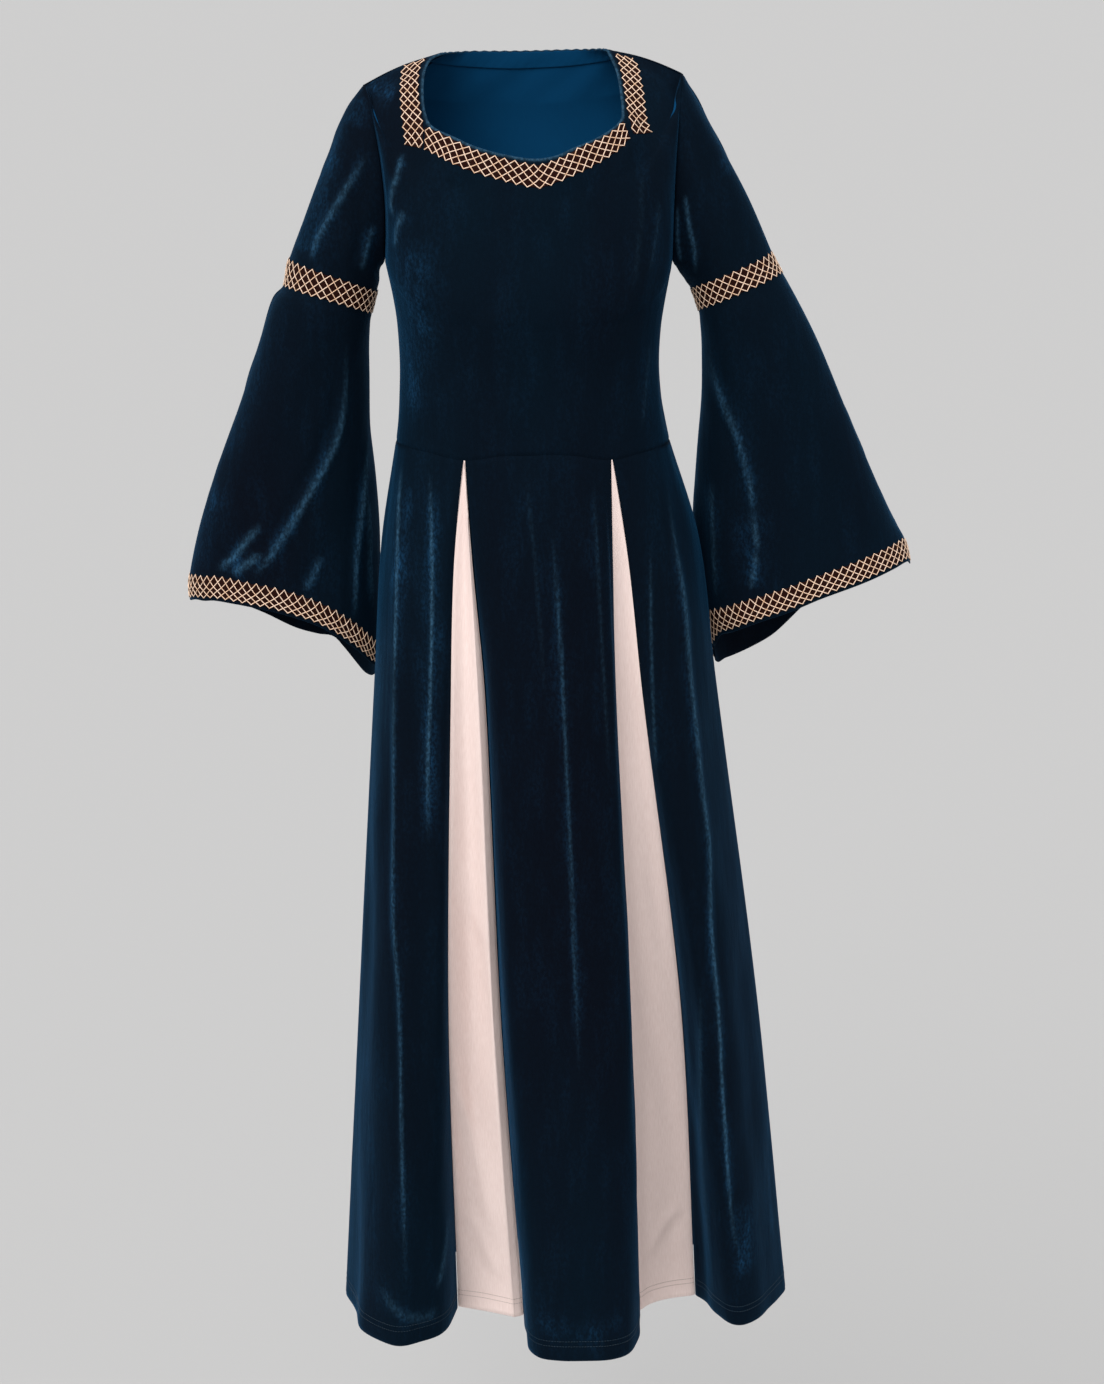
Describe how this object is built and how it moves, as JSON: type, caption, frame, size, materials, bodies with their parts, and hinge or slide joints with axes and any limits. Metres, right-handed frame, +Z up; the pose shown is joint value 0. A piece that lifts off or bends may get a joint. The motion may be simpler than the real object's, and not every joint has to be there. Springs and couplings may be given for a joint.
{
  "type": "medieval gown",
  "caption": "Floor-length velvet gown with flared sleeves, pale godets in the skirt front and lattice trim, filled out and hollow as if worn.",
  "frame": {"origin": "midway between the shoulder tips in X, in the plane of the side and shoulder seams less 5 mm in Y, and level with the neck end of the left-hand shoulder seam as seen from the front, where the wearer's shoulders hold the gown", "axes": "+Z up along the gown, -Y towards the front, +X to the right as seen from the front"},
  "size_m": [0.8437, 0.3324, 1.5053],
  "materials": {
    "velvet": "crushed stretch velvet, dark blue, with a soft sheen at the rims of the folds",
    "godet_cloth": "plain matte woven cotton, pale pink",
    "woven_trim": "dark brown woven ribbon with a raised peach-gold lattice"
  },
  "bodies": {
    "root": {"bodice_front": "velvet", "bodice_back": "velvet", "back_neck_facing": "velvet", "sleeve_upper_left": "velvet", "sleeve_flare_left": "velvet", "sleeve_upper_right": "velvet", "sleeve_flare_right": "velvet", "skirt_front_side_left": "velvet", "skirt_front_center": "velvet", "skirt_front_side_right": "velvet", "skirt_back": "velvet", "godet_left": "godet_cloth", "godet_right": "godet_cloth", "arm_trim_left": "woven_trim", "cuff_trim_left": "woven_trim", "arm_trim_right": "woven_trim", "cuff_trim_right": "woven_trim", "neck_trim_left": "woven_trim", "neck_trim_right": "woven_trim", "neck_trim_front": "woven_trim"}
  },
  "joints": []
}
